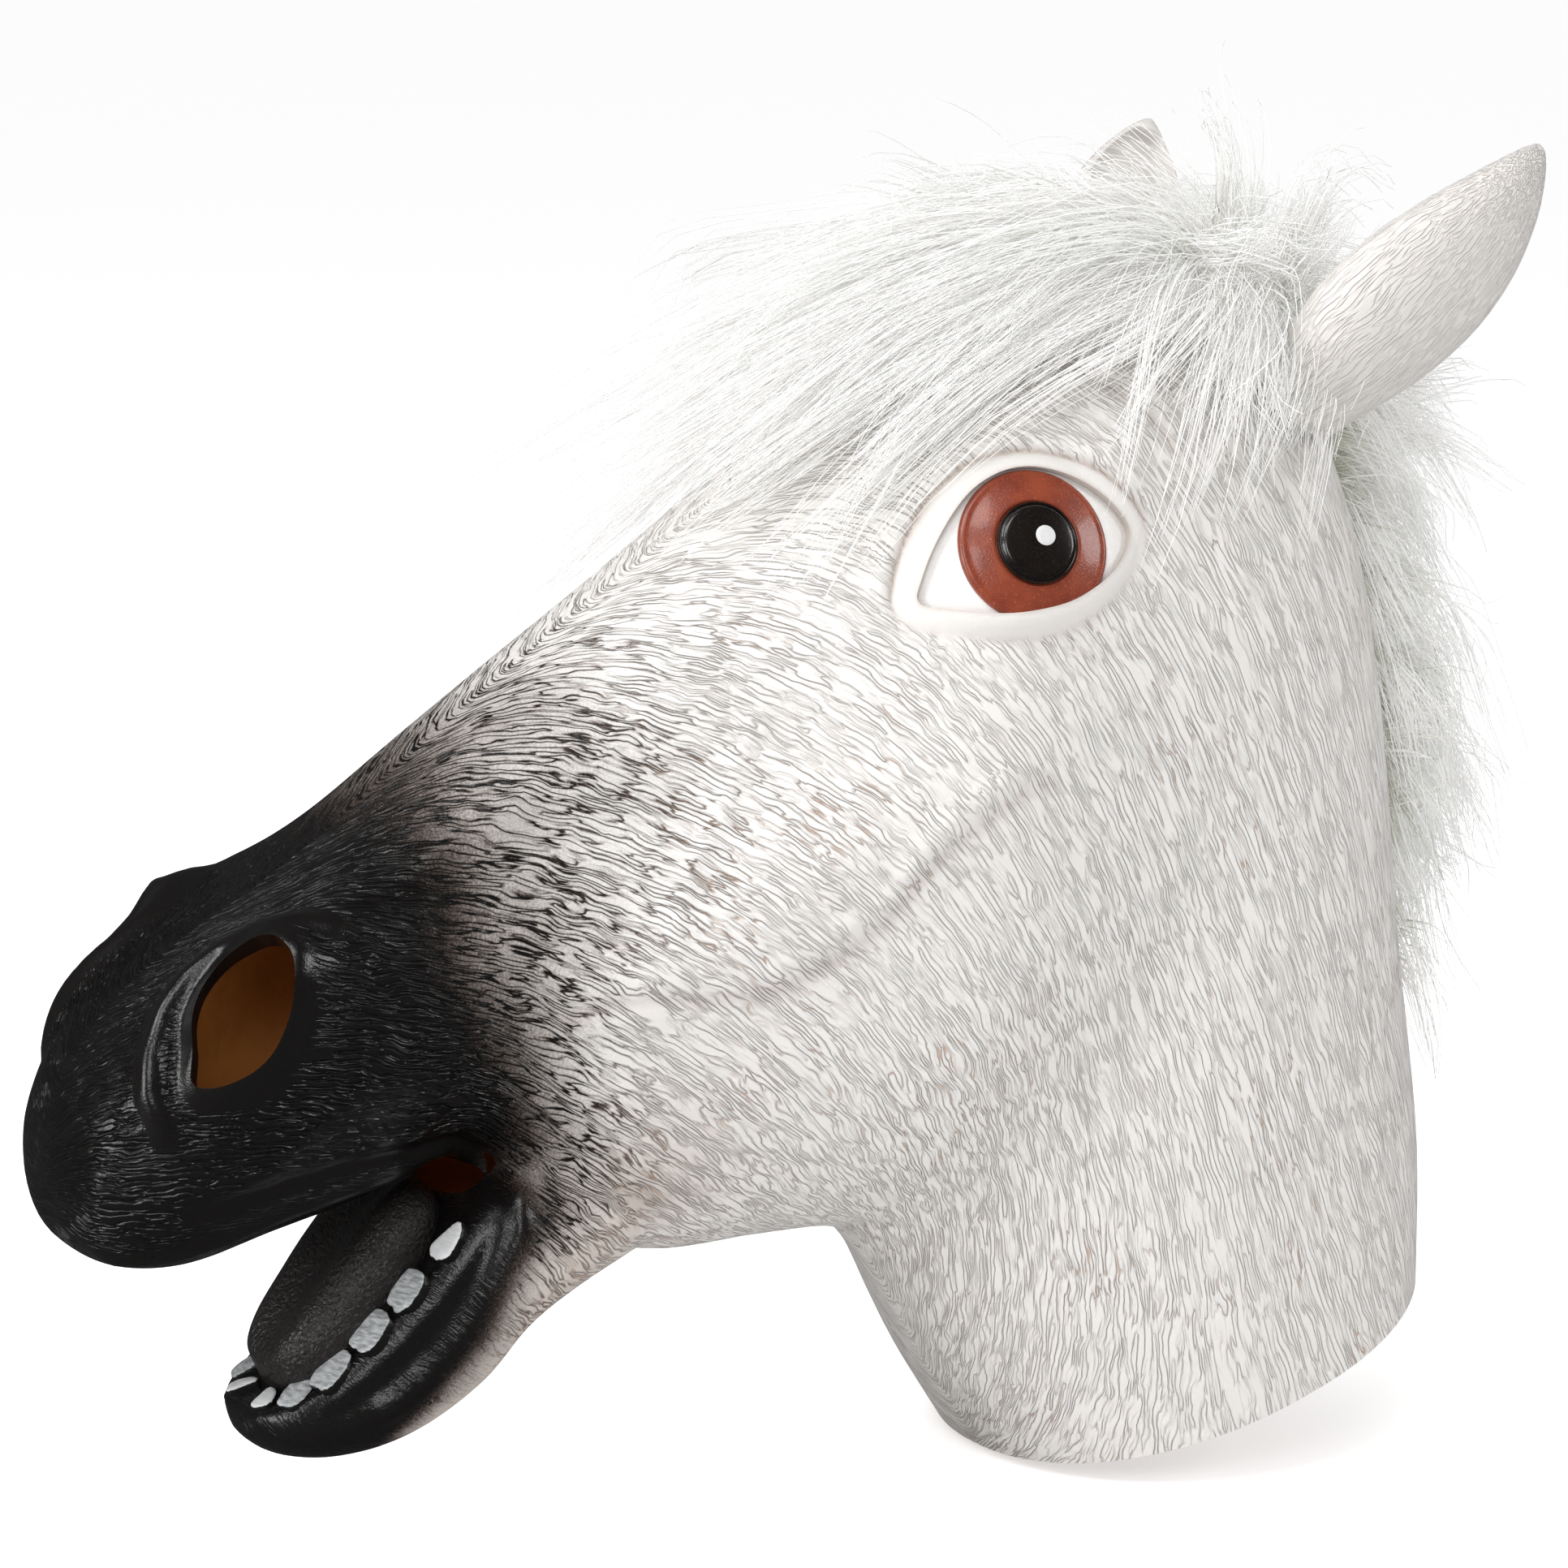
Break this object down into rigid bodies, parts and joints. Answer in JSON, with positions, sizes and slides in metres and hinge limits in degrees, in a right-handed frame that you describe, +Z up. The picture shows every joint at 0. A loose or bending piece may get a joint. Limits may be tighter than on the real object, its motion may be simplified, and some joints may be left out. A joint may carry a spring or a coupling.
{
  "type": "horse mask",
  "caption": "Full-head horse mask of cast latex rubber, hollow and open at the neck, with open nostrils and mouth, upright ears, domed eyes, and a pile fur forelock and mane.",
  "frame": {"origin": "inside of the crown on the midline, where the mask rests on the top of the wearer's head", "axes": "+Z up as worn, muzzle towards -Y, nape towards +Y, the mask's own left side towards +X"},
  "size_m": [0.2404, 0.5503, 0.462],
  "materials": {
    "latex": "satin white latex, painted gloss black on the muzzle and jaw, the black fading out over the nose",
    "ear_latex": "satin off-white latex",
    "black_latex": "gloss black paint",
    "eye_white": "smooth off-white paint",
    "iris_brown": "gloss copper brown paint",
    "pupil_black": "gloss black paint",
    "tooth_silver": "silver grey paint",
    "fur_white": "long white pile"
  },
  "bodies": {
    "root": {"latex_head": "latex", "ear_left": "ear_latex", "ear_right": "ear_latex", "eye_left": "eye_white", "eye_right": "eye_white", "iris_left": "iris_brown", "iris_right": "iris_brown", "pupil_left": "pupil_black", "pupil_right": "pupil_black", "tongue": "black_latex", "tooth_left_1": "tooth_silver", "tooth_left_2": "tooth_silver", "tooth_left_3": "tooth_silver", "tooth_left_4": "tooth_silver", "tooth_left_5": "tooth_silver", "tooth_left_6": "tooth_silver", "tooth_right_1": "tooth_silver", "tooth_right_2": "tooth_silver", "tooth_right_3": "tooth_silver", "tooth_right_4": "tooth_silver", "tooth_right_5": "tooth_silver", "tooth_right_6": "tooth_silver", "forelock": "fur_white", "mane": "fur_white"}
  },
  "joints": []
}
